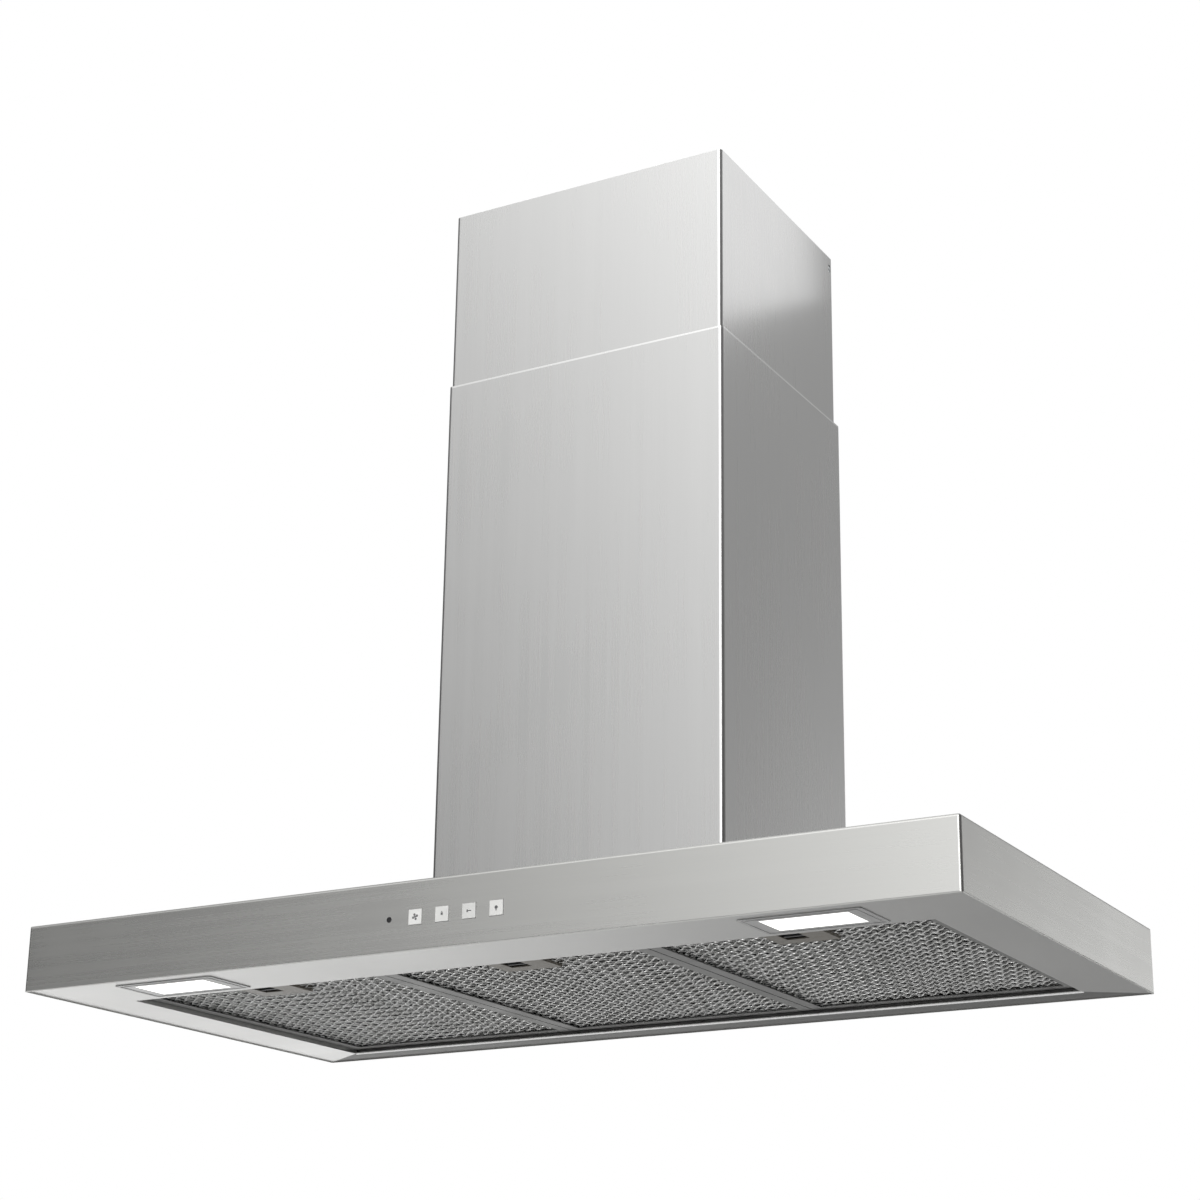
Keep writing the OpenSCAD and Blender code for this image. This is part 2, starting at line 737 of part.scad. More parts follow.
module damper_flap(sx) {
  r = collar_r - collar_t - flap_edge;
  half = sqrt(r * r - pow(flap_x + barrel_r, 2)) - 2;
  color([0.5, 0.52, 0.54]) difference() {
    union() {
      intersection() {
        translate([0, collar_y, flap_z - flap_t / 2]) cylinder(r = r, h = flap_t);
        block(r, 2 * r, 4, sx * (flap_x + r / 2), collar_y, flap_z - 2);
      }
      bar_y(barrel_r, 2 * half, sx * flap_x, collar_y - half, flap_z);
    }
    bar_y(pin_r + pin_fit, 3 * r, sx * flap_x, collar_y - 1.5 * r, flap_z);
  }
}

// ---- Chimney covers and wall fixings ----

module chimney_screw_places() {
  for (sx = [-1, 1], y = [back_y - chimney_d + 40, back_y - 40])
    translate([sx * (chimney_w / 2 - 5), y, canopy_h]) children();
}

module lower_chimney() {
  color([0.78, 0.78, 0.77]) {
    cover(chimney_w, chimney_d, chimney_y, canopy_h, lower_top - canopy_h);
    // feet that screw to the canopy's top
    difference() {
      for (sx = [-1, 1], y = [back_y - chimney_d + 40, back_y - 40])
        block(7.5, 30, chimney_t, sx * (chimney_w / 2 - chimney_t - 3.75 + eps), y, canopy_h);
      chimney_screw_places() cylinder(r = 1.75, h = 6 * cut, center = true);
    }
  }
}

module chimney_screws() {
  color("silver") chimney_screw_places() {
    translate([0, 0, -3]) cylinder(r = 1.7, h = 3 + chimney_t + eps);
    translate([0, 0, chimney_t]) cylinder(r = 3, h = 2);
  }
}

module upper_chimney() {
  color([0.78, 0.78, 0.77]) difference() {
    cover(upper_w, upper_d, upper_y, upper_top - upper_len, upper_len);
    block(upper_w + 4 * cut, slot_w, slot_h,
          0, upper_back - slot_from_back, upper_top - slot_from_top - slot_h / 2);
  }
}

module chimney_bracket() {
  leg_y = upper_back - chimney_t - bracket_t;
  z0 = upper_top - bracket_h - 1;
  color([0.7, 0.71, 0.72]) difference() {
    union() {
      // side tabs behind the cover's slots
      for (sx = [-1, 1])
        block(bracket_t, 14, bracket_h,
              sx * (bracket_half - bracket_t / 2), leg_y + bracket_t - cover_fold_r - 7, z0);
      // wings, legs back to the wall and the wall foot
      for (sx = [-1, 1]) {
        wing = bracket_half - bracket_foot;
        block(wing, bracket_t, bracket_h, sx * (bracket_half - wing / 2), leg_y - bracket_t, z0);
        block(bracket_t, back_y - leg_y + 1.5 * bracket_t, bracket_h,
              sx * (bracket_foot + bracket_t / 2), (back_y + leg_y - 1.5 * bracket_t) / 2, z0);
      }
      block(2 * bracket_foot + 2 * bracket_t, bracket_t, bracket_h, 0, back_y - bracket_t / 2, z0);
    }
    for (sx = [-1, 1]) {
      bar_y(3, 4 * cut + bracket_t, sx * bracket_hole_x, back_y - bracket_t - 2 * cut, z0 + bracket_h / 2);
      bar_x(1.6, 6 * cut, sx * (bracket_half - bracket_t / 2) - 3 * cut, upper_back - slot_from_back,
            upper_top - slot_from_top);
    }
  }
}

module hanging_plate() {
  color([0.7, 0.71, 0.72]) difference() {
    union() {
      block(2 * plate_half, plate_t, plate_h, 0, back_y - plate_t / 2, plate_z);
      for (sx = [-1, 1])
        block(plate_t, back_y - box_back, plate_h,
              sx * (plate_half - plate_t / 2), (back_y + box_back) / 2, plate_z);
    }
    for (sx = [-1, 1]) {
      bar_y(wall_hole_r, 6 * cut, sx * wall_hole_x, back_y - 4 * cut, plate_z + plate_h / 2);
      // keyhole for the wall hook
      bar_y(6, 6 * cut, sx * 45, back_y - 4 * cut, plate_z + 24);
      bar_y(3, 6 * cut, sx * 45, back_y - 4 * cut, plate_z + 36);
      block(6, 8 * cut, 12, sx * 45, back_y - cut, plate_z + 24);
    }
  }
}

module panel_screw_places() {
  for (sx = [-1, 1], y = [-canopy_d / 4, 0, canopy_d / 4])
    translate([sx * inner_w / 2, y, panel_z + 9]) children();
}

module panel_screws() {
  color("silver") for (sx = [-1, 1], y = [-canopy_d / 4, 0, canopy_d / 4])
    translate([sx * inner_w / 2, y, panel_z + 9]) mirror([sx < 0 ? 1 : 0, 0, 0]) {
      bar_x(1.7, sheet_t + eps, -sheet_t - eps, 0, 0);
      bar_x(3.2, 1.8, -sheet_t - 1.8, 0, 0);
    }
}

// ---- Filters ----

module filter_frame(i) {
  mid_y = (filter_front + filter_back) / 2;
  color([0.62, 0.63, 0.64]) translate([filter_x(i), 0, 0]) difference() {
    union() {
      block(filter_w, filter_len, filter_h, 0, mid_y, filter_z);
      for (sx = [-1, 1])
        block(tab_w, tab_len + filter_end_gap + eps, 1.2, sx * tab_x,
              filter_back + (tab_len + filter_end_gap) / 2, filter_z);
    }
    block(filter_w - 2 * lip_w, filter_len - 2 * lip_w, filter_h + 2 * cut, 0, mid_y, filter_z - cut);
    block(filter_w - 2 * frame_t, filter_len - 2 * frame_t, filter_h - 2 * frame_t,
          0, mid_y, filter_z + frame_t);
    block(tongue_w + 1, 4 * cut, tongue_t + 0.6, 0, filter_front, tongue_z - 0.3);
  }
}

// One pleated sheet of expanded mesh, seated in the frame's channel
module filter_mesh(i) {
  seat = 0.05;
  half = filter_w / 2 - frame_t - 0.3;
  steps = 2 * floor(half / pleat) * 2;
  step = 2 * half / steps;
  lo = filter_z + frame_t + seat;
  hi = filter_z + filter_h - frame_t - seat;
  t = 0.8;
  profile = [for (k = [0:steps]) [-half + k * step, k % 2 == 0 ? lo : hi - t]];
  color([0.55, 0.56, 0.57]) translate([filter_x(i), 0, 0]) difference() {
    translate([0, filter_back - frame_t - 0.3, 0]) rotate([90, 0, 0])
      linear_extrude(filter_len - 2 * frame_t - 0.6)
        polygon(concat(profile, [for (k = [steps:-1:0]) profile[k] + [0, t]]));
    block(cup_w + 0.4, cup_d + 0.4, filter_h + 2, 0, cup_front + cup_d / 2, filter_z - 1);
    block(tongue_w + 2, 2 * (cup_front - filter_front), filter_h, 0, cup_front, filter_z + frame_t);
  }
}

module latch_cup(i) {
  color([0.36, 0.34, 0.3]) translate([filter_x(i), 0, 0]) difference() {
    block(cup_w, cup_d, cup_h, 0, cup_front + cup_d / 2, cup_z);
    block(cup_w - 2 * cup_wall, pocket_back - pocket_front, pocket_top - cup_z - cup_floor,
          0, (pocket_front + pocket_back) / 2, cup_z + cup_floor);
    block(hole_w, hole_back - pocket_front, cup_floor + 2 * cut,
          hole_x, (pocket_front + hole_back) / 2, cup_z - cut);
    block(tongue_w + 1, cup_wall + 2 * cut, tongue_t + 0.6, 0, cup_front + cup_wall / 2, tongue_z - 0.3);
  }
}

module latch_slider(i) {
  tip = open_front + tongue_short;
  color([0.1, 0.1, 0.1]) translate([filter_x(i), 0, 0]) {
    block(slider_w, slider_d, tongue_t, 0, slider_front + slider_d / 2, tongue_z);
    block(tongue_w, slider_front - tip + eps, tongue_t, 0, (slider_front + tip) / 2, tongue_z);
    block(hole_w - 2, lip_t, tongue_z - cup_z - lip_gap + eps,
          hole_x, lip_front + lip_t / 2, cup_z + lip_gap);
  }
}

// Flat zigzag spring between the slider and the cup's back wall
module latch_spring(i) {
  y0 = slider_front + slider_d + spring_end;
  y1 = pocket_back - spring_end;
  pitch = (y1 - y0 - spring_wire) / (spring_turns - 1);
  color("silver") translate([filter_x(i), 0, 0]) {
    for (k = [0:spring_turns - 1])
      block(spring_w, spring_wire, 1.2, 0, y0 + k * pitch + spring_wire / 2, tongue_z + 0.1);
    for (k = [0:spring_turns - 2])
      block(spring_wire, pitch + spring_wire, 1.2, (k % 2 == 0 ? 1 : -1) * (spring_w - spring_wire) / 2,
            y0 + k * pitch + (pitch + spring_wire) / 2, tongue_z + 0.1);
  }
}

canopy_shell();
underside_panel();
rear_rail();
rail_rod();
lamp_bezel(-1);  // lamp_bezel_left
lamp_bezel(1);  // lamp_bezel_right
lamp_lens(-1);  // lamp_lens_left
lamp_lens(1);  // lamp_lens_right
lamp_boards();
lamp_clips();
led_driver();
control_housing();
control_board();
tact_switches();
indicator_lens();
blower_box();
blower_gasket();
volute_left();
volute_right();
motor_can();
motor_bracket();
motor_grommets();
run_capacitor();
terminal_box();
terminal_lid();
cable_gland();
outlet_collar();
flap_pins();
lower_chimney();
hanging_plate();
blower_screws();
chimney_screws();
panel_screws();
upper_chimney();
chimney_bracket();
impeller();
motor_shaft();
damper_flap(-1);  // damper_flap_left
damper_flap(1);  // damper_flap_right
button(1);  // button_1
button(2);  // button_2
button(3);  // button_3
button(4);  // button_4
filter_frame(1);  // filter_frame_1
filter_frame(2);  // filter_frame_2
filter_frame(3);  // filter_frame_3
filter_mesh(1);  // filter_mesh_1
filter_mesh(2);  // filter_mesh_2
filter_mesh(3);  // filter_mesh_3
latch_cup(1);  // latch_cup_1
latch_cup(2);  // latch_cup_2
latch_cup(3);  // latch_cup_3
latch_slider(1);  // latch_slider_1
latch_slider(2);  // latch_slider_2
latch_slider(3);  // latch_slider_3
latch_spring(1);  // latch_spring_1
latch_spring(2);  // latch_spring_2
latch_spring(3);  // latch_spring_3
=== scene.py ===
"""Looks for a wall chimney range hood: materials, filter mesh, button marks, studio and camera.

Everything is in metres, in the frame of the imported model: +X right, +Y towards the wall, +Z up.
"""

import json
import math

import bmesh
import bpy
from mathutils import Matrix, Vector


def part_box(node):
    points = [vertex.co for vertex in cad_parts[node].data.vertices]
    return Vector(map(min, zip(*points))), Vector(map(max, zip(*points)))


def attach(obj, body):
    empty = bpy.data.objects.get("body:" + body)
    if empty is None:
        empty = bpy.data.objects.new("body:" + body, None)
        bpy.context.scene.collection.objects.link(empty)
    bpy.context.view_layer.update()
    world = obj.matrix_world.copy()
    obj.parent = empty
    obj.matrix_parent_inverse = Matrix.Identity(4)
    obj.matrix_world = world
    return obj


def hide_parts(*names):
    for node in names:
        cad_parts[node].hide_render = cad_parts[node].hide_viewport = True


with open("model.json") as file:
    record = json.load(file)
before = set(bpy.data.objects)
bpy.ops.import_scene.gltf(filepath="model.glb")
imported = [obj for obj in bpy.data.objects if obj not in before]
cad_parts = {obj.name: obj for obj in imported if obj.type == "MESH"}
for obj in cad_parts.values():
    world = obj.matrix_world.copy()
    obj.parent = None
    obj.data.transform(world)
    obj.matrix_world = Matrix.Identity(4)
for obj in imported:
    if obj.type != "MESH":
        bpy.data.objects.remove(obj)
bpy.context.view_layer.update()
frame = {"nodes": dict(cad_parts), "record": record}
MM = 0.001

# Camera at the photograph's viewpoint
CAMERA_AT = (1.0696, -1.8533, -0.3871)
CAMERA_YAW = math.radians(27.585)     # left of +Y
CAMERA_PITCH = math.radians(17.825)   # above the horizon
CAMERA_ROLL = math.radians(0.11)
CAMERA_LENS = 71.95
CAMERA_SHIFT = (-0.075, 0.0625)

# Studio
FLOOR_Z = -1.55
FLOOR_HALF = 5.0
ROOM_GLOW = 0.02        # radiance of the room between the glows
GLOWS = [               # azimuth, elevation, sharpness, radiance
    (58, -8, 45, 3.4),      # seen in the underside's left end
    (42, -8, 45, 1.7),      # in its middle
    (350, 6, 45, 1.75),     # in the end face and the covers' side
    (172, 8, 45, 1.15),     # in the fascia's right end
    (160, 8, 45, 0.5),
    (172, 25, 45, 0.5),     # in the covers' front
    (172, 45, 12, 2.0),
    (160, 45, 12, 0.3),
    (318, 42, 12, 0.65),    # in the top of the covers' side
    (0, 90, 3, 0.65),       # wide light from above
    (196, 12, 60, 4.0),     # line of light along the covers' folds
    (196, 28, 60, 4.0),
    (0, 90, 14, 1.2),       # line of light along the canopy's top fold
]

# Marks on the buttons
BUTTON_FLANGE = 1.7 * MM  # width of the hidden flange round each button
MARK_SHARE = 0.5          # a mark's size as a share of the button's face
MARK_PROUD = 0.05 * MM
MARK_SUNK = 0.02 * MM

# Edges
BEVEL_ANGLE = math.radians(40)  # edges sharper than this are rounded
EDGE_HIGHLIGHT_R = 0.7 * MM             # reach of the painted highlight along a steel edge
TOP_HIGHLIGHT_W = 1.8 * MM             # width of the painted highlight strip at the lower cover's top

# Expanded mesh of the filters
COLUMN = 6.2 * MM         # distance between columns of cells
BUMP_X = 12.0 * MM        # the mesh is pressed into staggered bumps: their pitch along X
BUMP_Y = 18.0 * MM        # distance between two rows of bumps
STRAND_GAP = 6.0 * MM     # distance between neighbouring strands
STRAND_SWING = 2.0 * MM
STRAND_W = 2.2 * MM
BOND_W = 3.2 * MM         # width where two strands join
STRAND_T = 0.5 * MM
STRAND_TWIST = 0.3        # radians that a strand turns each way between its bonds
FRONT_LAYER = {"up": 0.9 * MM, "bump_height": 1.9 * MM, "samples": 8, "shift": 0.5, "tilt": 0.35}
MIDDLE_LAYER = {"up": 3.4 * MM, "bump_height": 0.8 * MM, "samples": 4, "shift": 1.1, "tilt": 0.3}
CUP_GAP = 0.8 * MM        # clear strip between the mesh and the latch cup

# Pleated sheet at the back of the filters
PLEAT = 11.6 * MM         # distance between its folds
PLEAT_H = 1.6 * MM
PLEAT_T = 0.3 * MM
PLEAT_DOWN = 0.4 * MM     # below the top of the mesh's box


# ---- Node trees ----

class Shade:
    """One material's node tree, with short calls for the nodes used here."""

    def __init__(self, name):
        self.mat = bpy.data.materials.new(name)
        self.mat.use_nodes = True
        self.tree = self.mat.node_tree
        self.shader = self.tree.nodes["Principled BSDF"]
        self.place = self.tree.nodes.new("ShaderNodeTexCoord").outputs["Object"]

    def put(self, socket, value):
        if isinstance(value, bpy.types.NodeSocket):
            self.tree.links.new(value, socket)
        else:
            socket.default_value = value

    def set(self, **values):
        for name, value in values.items():
            self.put(self.shader.inputs[name.replace("_", " ")], value)

    def math(self, operation, a, b=0.0):
        node = self.tree.nodes.new("ShaderNodeMath")
        node.operation = operation
        self.put(node.inputs[0], a)
        self.put(node.inputs[1], b)
        return node.outputs[0]

    def scaled(self, scale):
        node = self.tree.nodes.new("ShaderNodeMapping")
        self.put(node.inputs["Vector"], self.place)
        node.inputs["Scale"].default_value = scale
        return node.outputs[0]

    def noise(self, vector, scale=1.0, detail=2.0, rough=0.5):
        node = self.tree.nodes.new("ShaderNodeTexNoise")
        self.put(node.inputs["Vector"], vector)
        node.inputs["Scale"].default_value = scale
        node.inputs["Detail"].default_value = detail
        node.inputs["Roughness"].default_value = rough
        return node.outputs["Fac"]

    def cells(self, scale, feature="F1", output="Distance"):
        node = self.tree.nodes.new("ShaderNodeTexVoronoi")
        node.feature = feature
        self.put(node.inputs["Vector"], self.place)
        node.inputs["Scale"].default_value = scale
        return node.outputs[output]

    def span(self, value, low, high, to_low=0.0, to_high=1.0):
        node = self.tree.nodes.new("ShaderNodeMapRange")
        self.put(node.inputs["Value"], value)
        for name, number in (("From Min", low), ("From Max", high), ("To Min", to_low), ("To Max", to_high)):
            node.inputs[name].default_value = number
        return node.outputs[0]

    def mix(self, factor, a, b, kind="RGBA"):
        node = self.tree.nodes.new("ShaderNodeMix")
        node.data_type = kind
        inputs = [s for s in node.inputs if s.enabled]
        for socket, value in zip(inputs, (factor, a, b)):
            self.put(socket, value)
        return next(s for s in node.outputs if s.enabled)

    def bump(self, height, distance, strength):
        node = self.tree.nodes.new("ShaderNodeBump")
        node.inputs["Strength"].default_value = strength
        node.inputs["Distance"].default_value = distance
        self.put(node.inputs["Height"], height)
        return node.outputs[0]

    def faces_x(self):
        """1 on faces that look along X, 0 on the rest."""
        node = self.tree.nodes.new("ShaderNodeSeparateXYZ")
        self.put(node.inputs[0], self.place.node.outputs["Normal"])
        return self.math("GREATER_THAN", self.math("ABSOLUTE", node.outputs[0]), 0.7)

    def edges(self, radius):
        """1 along sharp edges, 0 on flat ground."""
        rounded = self.tree.nodes.new("ShaderNodeBevel")
        rounded.samples = 4
        rounded.inputs["Radius"].default_value = radius
        flat = self.tree.nodes.new("ShaderNodeNewGeometry")
        dot = self.tree.nodes.new("ShaderNodeVectorMath")
        dot.operation = "DOT_PRODUCT"
        self.put(dot.inputs[0], rounded.outputs[0])
        self.put(dot.inputs[1], flat.outputs["True Normal"])
        return self.span(dot.outputs["Value"], 0.995, 0.85)

    def height(self):
        node = self.tree.nodes.new("ShaderNodeSeparateXYZ")
        self.put(node.inputs[0], self.place)
        return node.outputs[2]


def grey(value, warm=0.0):
    """An RGBA grey. warm above 0 takes blue out, below 0 takes red out."""
    return (value * (1 + min(warm, 0)), value, value * (1 - max(warm, 0)), 1.0)


# ---- Materials ----

def brushed_steel(name, tone, warm, roughness, upright, streaks=0.014, aniso=0.6, lit_below=None):
    """Brushed stainless steel with a painted highlight along its sharp edges. upright grain runs along Z,
    otherwise along the width, and along Y on end faces. A near-white painted highlight strip is laid along the
    top edge, below the height lit_below."""
    s = Shade(name)
    side = s.faces_x()
    if upright:
        grain_at = s.scaled((700, 700, 5))
        across = s.mix(side, (1, 0, 0), (0, 1, 0), "VECTOR")
    else:
        grain_at = s.mix(side, s.scaled((5, 700, 700)), s.scaled((700, 5, 700)), "VECTOR")
        across = (0, 0, 1)
    fine = s.noise(grain_at, 1.0, 3.0, 0.6)
    coarse = s.noise(grain_at, 0.16, 2.0, 0.5)
    grain = s.math("ADD", s.math("MULTIPLY", fine, 0.6), s.math("MULTIPLY", coarse, 0.4))
    smudge = s.noise(s.place, 5.0, 3.0, 0.55)
    base = s.mix(s.span(grain, 0.3, 0.7), grey(tone * (1 - streaks), warm), grey(tone * (1 + streaks), warm))
    base = s.mix(s.span(smudge, 0.35, 0.75, 0.0, 0.06), base, grey(tone * 0.8, warm))
    # painted highlight: the base colour is lightened along sharp edges, as if the folds caught the light
    painted_edge_highlight = s.math("MULTIPLY", s.edges(EDGE_HIGHLIGHT_R), s.span(s.noise(s.place, 60.0, 2.0), 0.3, 0.6, 0.35, 1.0))
    base = s.mix(painted_edge_highlight, base, grey(min(1.0, tone * 1.35)))
    # painted highlight: a near-white strip along the top edge of the cover
    if lit_below is not None:
        top_highlight = s.math("GREATER_THAN", s.height(), lit_below - TOP_HIGHLIGHT_W)
        base = s.mix(s.math("MULTIPLY", top_highlight, 0.6), base, grey(1.0))
    rough = s.math("ADD", s.span(grain, 0.3, 0.7, -0.02, 0.02),
                   s.span(smudge, 0.3, 0.7, roughness, roughness + 0.04))
    s.set(Base_Color=base, Metallic=1.0, Roughness=rough, Anisotropic=aniso, Tangent=across)
    s.set(Normal=s.bump(grain, 0.02 * MM, 0.2))
    return s.mat


def galvanised(name):
    """Zinc-coated sheet with its spangle."""
    s = Shade(name)
    spangle = s.cells(95, output="Color")
    dust = s.noise(s.place, 40, 3.0)
    base = s.mix(s.span(spangle, 0.0, 1.0, 0.0, 0.55), (0.50, 0.52, 0.54, 1), (0.68, 0.70, 0.72, 1))
    base = s.mix(s.span(dust, 0.5, 0.8, 0.0, 0.25), base, (0.36, 0.36, 0.35, 1))
    s.set(Base_Color=base, Metallic=0.9, Roughness=s.span(spangle, 0.0, 1.0, 0.34, 0.5))
    s.set(Normal=s.bump(dust, 0.05 * MM, 0.4))
    return s.mat


def bare_metal(name, tone, warm, roughness, metallic=1.0):
    """Plain drawn or rolled metal, with faint marks from handling."""
    s = Shade(name)
    mark = s.noise(s.scaled((220, 40, 220)), 1.0, 4.0, 0.6)
    patch = s.noise(s.place, 18, 3.0)
    base = s.mix(s.span(mark, 0.3, 0.7), grey(tone * 0.88, warm), grey(tone * 1.08, warm))
    rough = s.math("ADD", s.span(patch, 0.3, 0.7, roughness - 0.05, roughness + 0.07),
                   s.span(mark, 0.3, 0.7, -0.03, 0.03))
    s.set(Base_Color=base, Metallic=metallic, Roughness=rough)
    s.set(Normal=s.bump(mark, 0.04 * MM, 0.4))
    return s.mat


def moulded(name, colour, roughness, grain=900, depth=0.03):
    """Injection-moulded plastic with a fine spark-eroded grain, depth millimetres deep."""
    s = Shade(name)
    skin = s.noise(s.place, grain, 2.0, 0.6)
    flow = s.noise(s.scaled((12, 30, 12)), 1.0, 2.0)
    lighter = tuple(min(1.0, c * 1.25 + 0.004) for c in colour) + (1,)
    base = s.mix(s.span(flow, 0.35, 0.7, 0.0, 0.6), colour + (1,), lighter)
    rough = s.math("ADD", s.span(skin, 0.3, 0.7, -0.06, 0.06),
                   s.span(flow, 0.3, 0.7, roughness, roughness + 0.06))
    s.set(Base_Color=base, Roughness=rough)
    s.set(Normal=s.bump(skin, depth * MM, 0.5))
    return s.mat


def foam(name):
    """Closed-cell foam strip."""
    s = Shade(name)
    cell = s.cells(900)
    s.set(Base_Color=s.mix(s.span(cell, 0.0, 0.6), (0.012, 0.012, 0.012, 1), (0.05, 0.05, 0.05, 1)))
    s.set(Roughness=s.span(cell, 0.0, 0.6, 0.8, 0.95), Normal=s.bump(cell, 0.2 * MM, 0.8))
    return s.mat


def circuit_board(name):
    """Green solder mask with copper tracks under it."""
    s = Shade(name)
    track = s.math("LESS_THAN", s.cells(160, "DISTANCE_TO_EDGE"), 0.09)
    base = s.mix(track, (0.012, 0.10, 0.035, 1), (0.03, 0.20, 0.07, 1))
    s.set(Base_Color=base, Roughness=s.span(s.noise(s.place, 300), 0.3, 0.7, 0.22, 0.34))
    s.set(Normal=s.bump(track, 0.03 * MM, 0.5))
    return s.mat


def lit_lens(name):
    """Frosted lens over lit LEDs, with fine prisms."""
    s = Shade(name)
    prism = s.cells(520)
    frost = s.noise(s.place, 60, 2.0)
    s.set(Base_Color=s.mix(frost, (0.90, 0.90, 0.88, 1), (0.98, 0.98, 0.97, 1)),
          Roughness=s.span(prism, 0, 0.6, 0.25, 0.4))
    s.set(Emission_Color=s.mix(s.span(prism, 0, 0.6), (1.0, 1.0, 0.985, 1), (1.0, 0.995, 0.96, 1)),
          Emission_Strength=1.25)
    s.set(Normal=s.bump(prism, 0.08 * MM, 0.5))
    return s.mat


def expanded_aluminium(name, tone, roughness):
    """Bright expanded aluminium: cut edges shine, faces are duller and uneven."""
    s = Shade(name)
    patch = s.noise(s.place, 70, 3.0, 0.6)
    cut = s.noise(s.scaled((90, 500, 500)), 1.0, 3.0, 0.6)
    base = s.mix(s.span(patch, 0.3, 0.7), grey(tone * 0.78, 0.02), grey(tone * 1.15, 0.0))
    s.set(Base_Color=base, Metallic=1.0, Roughness=s.span(patch, 0.3, 0.7, roughness - 0.06, roughness + 0.1))
    s.set(Normal=s.bump(cut, 0.06 * MM, 0.5))
    return s.mat


def floor_material():
    s = Shade("studio_floor")
    grain = s.noise(s.place, 3.0, 3.0)
    s.set(Base_Color=s.mix(grain, grey(0.78), grey(0.84)), Roughness=s.span(grain, 0.3, 0.7, 0.6, 0.7))
    return s.mat


def chimney_steel(name, lit_below=None):
    return brushed_steel(name, 0.62, 0.0, 0.26, upright=True, aniso=0.2, lit_below=lit_below)


def slot_materials():
    """One material for each material slot of the record, with the marks' ink and a darker copy of the mesh's
    aluminium, painted shade for the deeper mesh.
    """
    return {
        "steel_shell": brushed_steel("steel_shell", 0.60, 0.02, 0.26, upright=False, aniso=0.5),
        "steel_panel": brushed_steel("steel_panel", 0.52, 0.01, 0.30, upright=False, aniso=0.4),
        # painted shade: the rail's near-black tone stands for the shade under the hood's rear edge next to the
        # wall
        "steel_rail": brushed_steel("steel_rail", 0.12, 0.01, 0.34, upright=False, aniso=0.4),
        "steel_chimney": chimney_steel("steel_chimney"),
        "lamp_frame": bare_metal("lamp_frame", 0.42, 0.0, 0.42, 0.9),
        "lamp_lens": lit_lens("lamp_lens"),
        "circuit_board": circuit_board("circuit_board"),
        "spring_steel": bare_metal("spring_steel", 0.62, 0.01, 0.22),
        "white_plastic": moulded("white_plastic", (0.80, 0.80, 0.78), 0.35),
        "black_plastic": moulded("black_plastic", (0.022, 0.022, 0.024), 0.45),
        "indicator": moulded("indicator", (0.02, 0.02, 0.022), 0.12, grain=200, depth=0.005),
        "galvanised": galvanised("galvanised"),
        "foam": foam("foam"),
        "dark_plastic": moulded("dark_plastic", (0.05, 0.05, 0.055), 0.42, grain=600),
        "motor_metal": moulded("motor_metal", (0.20, 0.20, 0.21), 0.38, grain=350, depth=0.06),
        "rubber": moulded("rubber", (0.016, 0.016, 0.016), 0.62, grain=500, depth=0.06),
        "bright_rod": bare_metal("bright_rod", 0.85, 0.0, 0.2),
        "flap_metal": bare_metal("flap_metal", 0.55, 0.0, 0.36),
        "button_metal": moulded("button_metal", (0.74, 0.74, 0.73), 0.30, grain=700, depth=0.01),
        "filter_frame": bare_metal("filter_frame", 0.20, 0.01, 0.42),
        "filter_mesh": expanded_aluminium("filter_mesh", 0.72, 0.30),
        "latch_cup": moulded("latch_cup", (0.105, 0.095, 0.08), 0.38, grain=450, depth=0.04),
        "button_ink": moulded("button_ink", (0.11, 0.11, 0.115), 0.5, grain=900, depth=0.01),
        # painted shade: a darker copy of the filter mesh's aluminium for the layers deep inside the filter
        "mesh_inner_painted_shade": expanded_aluminium("mesh_inner_painted_shade", 0.30, 0.45),
    }


def paint_cad_nodes(materials):
    for part in frame["record"]["subparts"]:
        mesh = frame["nodes"][part["node"]].data
        mesh.materials.clear()
        mesh.materials.append(materials[part["material_slot"]])
    lower = frame["nodes"]["lower_chimney"].data
    # the lower cover gets a painted highlight strip along its top edge
    lower.materials[0] = chimney_steel("steel_lower_cover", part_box("lower_chimney")[1].z)


def soften_edges():
    """Small rounded edges on the sheet-metal and moulded nodes, with their widths in millimetres."""
    widths = {"canopy_shell": 0.35, "underside_panel": 0.3, "lower_chimney": 0.3, "upper_chimney": 0.3,
              "lamp_bezel_left": 0.25, "lamp_bezel_right": 0.25, "terminal_lid": 0.6}
    widths |= {f"button_{i}": 0.4 for i in (1, 2, 3, 4)}
    widths |= {f"filter_frame_{i}": 0.3 for i in (1, 2, 3)}
    widths |= {f"latch_cup_{i}": 0.5 for i in (1, 2, 3)}
    widths |= {f"latch_slider_{i}": 0.3 for i in (1, 2, 3)}
    for node, width in widths.items():
        bevel = frame["nodes"][node].modifiers.new("rounded_edges", "BEVEL")
        bevel.width = width * MM
        bevel.segments = 2
        bevel.limit_method = "ANGLE"
        bevel.angle_limit = BEVEL_ANGLE
        bevel.harden_normals = True


# ---- Mesh pieces ----

def piece(name, build, material, body):
    """A new object whose mesh is filled in by build(bm). It rides on body and takes slot's finish."""
    bm = bmesh.new()
    build(bm)
    bmesh.ops.recalc_face_normals(bm, faces=bm.faces)
    mesh = bpy.data.meshes.new(name)
    bm.to_mesh(mesh)
    bm.free()
    mesh.materials.append(material)
    obj = bpy.data.objects.new(name, mesh)
    bpy.context.scene.collection.objects.link(obj)
    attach(obj, body)
    return obj


def loft(bm, rings):
    """Closed skin over a run of rings that have the same number of points."""
    loops = [[bm.verts.new(p) for p in ring] for ring in rings]
    n = len(loops[0])
    for a, b in zip(loops, loops[1:]):
        for k in range(n):
            bm.faces.new((a[k], a[(k + 1) % n], b[(k + 1) % n], b[k]))
    bm.faces.new(loops[0])
    bm.faces.new(reversed(loops[-1]))


